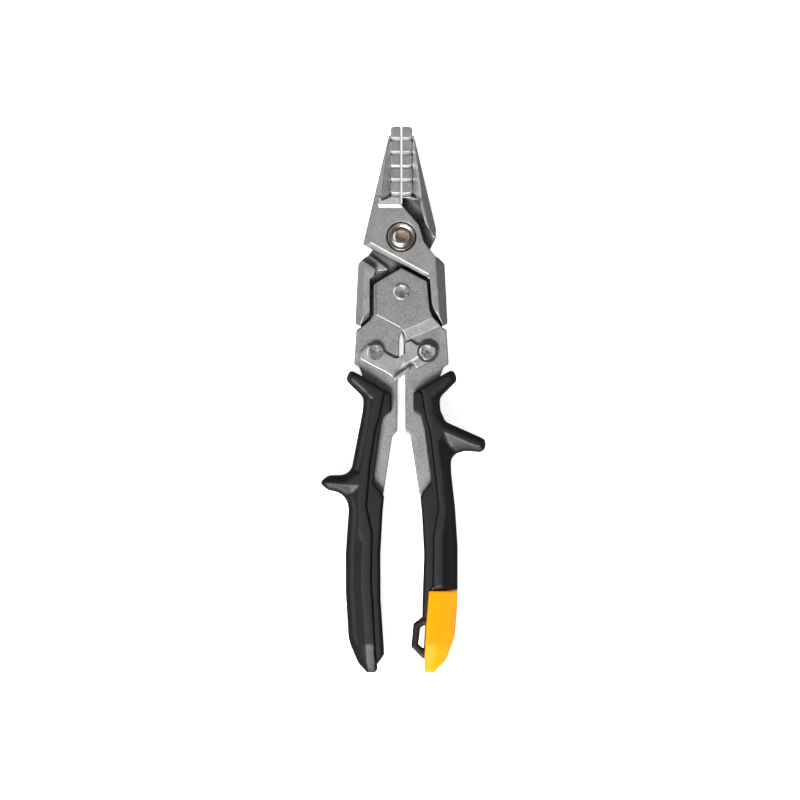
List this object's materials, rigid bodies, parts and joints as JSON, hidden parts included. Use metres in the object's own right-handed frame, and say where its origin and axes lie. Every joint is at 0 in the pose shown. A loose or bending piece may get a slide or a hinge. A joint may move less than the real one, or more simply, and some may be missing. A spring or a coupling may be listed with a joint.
{
  "type": "compound action gripping pliers",
  "caption": "Compound-action hand pliers with a snips linkage, ribbed gripping jaws, a swinging latch, dark moulded grips and a yellow end cap.",
  "frame": {"origin": "centre of the closed tool's outline, on the plane that its back lies on", "axes": "+Y along the tool towards the jaw tips, +X towards the handle with the yellow end cap, +Z out of the front face, which carries the latch"},
  "size_m": [0.0765, 0.254, 0.022],
  "materials": {
    "blasted_steel": "bead-blasted grey",
    "bright_steel": "bright zinc",
    "nickel": "polished nickel",
    "latch_steel": "satin nickel",
    "black_steel": "black oxide",
    "core_plastic": "fine matt texture",
    "grip_plastic": "satin, fine texture",
    "yellow_plastic": "satin gloss"
  },
  "bodies": {
    "rear_jaw": {"rear_jaw": "blasted_steel", "pivot_bush": "bright_steel", "pivot_bolt": "nickel", "pivot_washer": "nickel", "pivot_back_washer": "bright_steel", "pivot_nut": "bright_steel"},
    "front_jaw": {"front_jaw": "blasted_steel"},
    "left_handle": {"left_handle_front_plate": "blasted_steel", "left_handle_back_plate": "blasted_steel", "left_link_rivet": "nickel", "centre_rivet": "nickel", "latch_wave_washer": "bright_steel", "return_spring": "bright_steel", "left_grip_core": "core_plastic", "left_grip": "grip_plastic"},
    "right_handle": {"right_handle_front_plate": "blasted_steel", "right_handle_back_plate": "blasted_steel", "right_link_rivet": "nickel", "latch_keeper_washer": "black_steel", "right_grip_core": "core_plastic", "right_grip": "grip_plastic", "right_end_cap": "yellow_plastic"},
    "latch": {"latch_plate": "latch_steel"}
  },
  "joints": [
    {"name": "jaw_pivot", "type": "hinge", "parent": "rear_jaw", "child": "front_jaw", "pos_m": [-0.00095, 0.0759, 0.011], "axis": [0, 0, 1], "range_deg": [0, 14], "deforming": ["return_spring"]},
    {"name": "left_link", "type": "hinge", "parent": "rear_jaw", "child": "left_handle", "pos_m": [-0.01315, 0.0223, 0.011], "axis": [0, 0, 1], "range_deg": [-7.05, 0]},
    {"name": "right_link", "type": "hinge", "parent": "front_jaw", "child": "right_handle", "pos_m": [0.01125, 0.0223, 0.011], "axis": [0, 0, 1], "range_deg": [0, 7.05]},
    {"name": "latch_pivot", "type": "hinge", "parent": "left_handle", "child": "latch", "pos_m": [-0.01315, 0.0223, 0.0158], "axis": [0, 0, 1], "range_deg": [-22, 0]}
  ],
  "couplings": [
    {"joint": "left_link", "follows": "jaw_pivot", "ratio": -0.4993},
    {"joint": "right_link", "follows": "jaw_pivot", "ratio": 0.4993}
  ]
}
